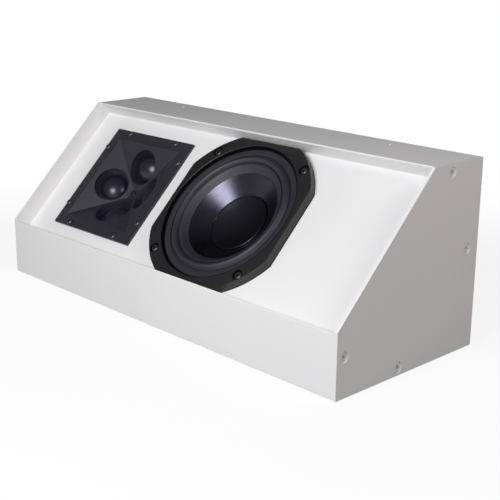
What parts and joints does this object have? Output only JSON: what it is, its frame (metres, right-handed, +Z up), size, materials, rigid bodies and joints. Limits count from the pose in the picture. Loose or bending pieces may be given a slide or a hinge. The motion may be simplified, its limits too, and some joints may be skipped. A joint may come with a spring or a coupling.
{
  "type": "outdoor corner speaker",
  "caption": "Wedge-shaped white metal outdoor loudspeaker with a slanted recessed baffle, a woofer and a cluster of dome tweeters on one black plate, for a wall corner.",
  "frame": {"origin": "middle of the underside", "axes": "+X along the box to the right seen from the front, front towards -Y, +Z up"},
  "size_m": [0.46, 0.1804, 0.171],
  "materials": {
    "black_cast_frame": "satin black coat on a cast frame",
    "black_moulding": "matt black moulded plastic",
    "black_post_cap": "black post cap",
    "black_steel_screws": "black oxide steel",
    "capacitor_film": "wrapped film capacitor",
    "circuit_board": "green solder mask",
    "cone_polypropylene": "glossy black polypropylene",
    "copper_winding": "enamelled copper wire",
    "dome_film": "coated soft dome",
    "ferrite_magnet": "sintered ferrite",
    "fibre_strip": "pressed fibre board with tinned tabs",
    "foam_gasket": "closed cell foam",
    "plain_aluminium": "milled aluminium",
    "red_post_cap": "red post cap",
    "resistor_ceramic": "cement resistor body",
    "spider_cloth": "resin treated cloth",
    "stainless_screws": "stainless countersunk screws",
    "surround_rubber": "moulded rubber",
    "wadding": "white polyester wadding",
    "white_painted_screws": "countersunk socket screws with white paint on their heads",
    "white_powder_coat": "satin white powder coat on folded aluminium sheet",
    "zinc_steel": "zinc plated steel"
  },
  "bodies": {
    "cabinet": {"binding_post_negative": "black_post_cap", "binding_post_positive": "red_post_cap", "board_screws": "zinc_steel", "board_spacers": "plain_aluminium", "crossover_board": "circuit_board", "crossover_capacitors": "capacitor_film", "crossover_inductors": "copper_winding", "crossover_resistors": "resistor_ceramic", "damping_pad": "wadding", "enclosure_shell": "white_powder_coat", "end_blocks_left": "plain_aluminium", "end_blocks_right": "plain_aluminium", "end_plate_left": "white_powder_coat", "end_plate_right": "white_powder_coat", "end_screws_left": "white_painted_screws", "end_screws_right": "white_painted_screws", "mounting_angle": "zinc_steel", "terminal_cup": "black_moulding", "terminal_gasket": "foam_gasket", "terminal_screws": "stainless_screws", "top_screws": "white_painted_screws", "tweeter_bottom_dome": "dome_film", "tweeter_bottom_flange": "black_moulding", "tweeter_bottom_magnet": "ferrite_magnet", "tweeter_bottom_pot": "zinc_steel", "tweeter_clamp": "zinc_steel", "tweeter_clamp_screw": "black_steel_screws", "tweeter_gasket": "foam_gasket", "tweeter_left_dome": "dome_film", "tweeter_left_flange": "black_moulding", "tweeter_left_magnet": "ferrite_magnet", "tweeter_left_pot": "zinc_steel", "tweeter_plate": "black_moulding", "tweeter_plate_screws": "black_steel_screws", "tweeter_right_dome": "dome_film", "tweeter_right_flange": "black_moulding", "tweeter_right_magnet": "ferrite_magnet", "tweeter_right_pot": "zinc_steel", "tweeter_top_dome": "dome_film", "tweeter_top_flange": "black_moulding", "tweeter_top_magnet": "ferrite_magnet", "tweeter_top_pot": "zinc_steel", "woofer_frame": "black_cast_frame", "woofer_gasket": "foam_gasket", "woofer_magnet": "ferrite_magnet", "woofer_screws": "black_steel_screws", "woofer_spider": "spider_cloth", "woofer_surround": "surround_rubber", "woofer_terminal_strip": "fibre_strip", "woofer_top_plate": "zinc_steel", "woofer_yoke": "zinc_steel"},
    "woofer_moving": {"woofer_cone": "cone_polypropylene", "woofer_dust_cap": "cone_polypropylene", "woofer_voice_coil": "copper_winding"}
  },
  "joints": [
    {"name": "woofer_excursion", "type": "slide", "parent": "cabinet", "child": "woofer_moving", "axis": [0, -0.7071, 0.7071], "range_m": [-0.004, 0.004], "stiffness_N_per_m": 1500, "deforming": ["woofer_surround", "woofer_spider"]}
  ]
}
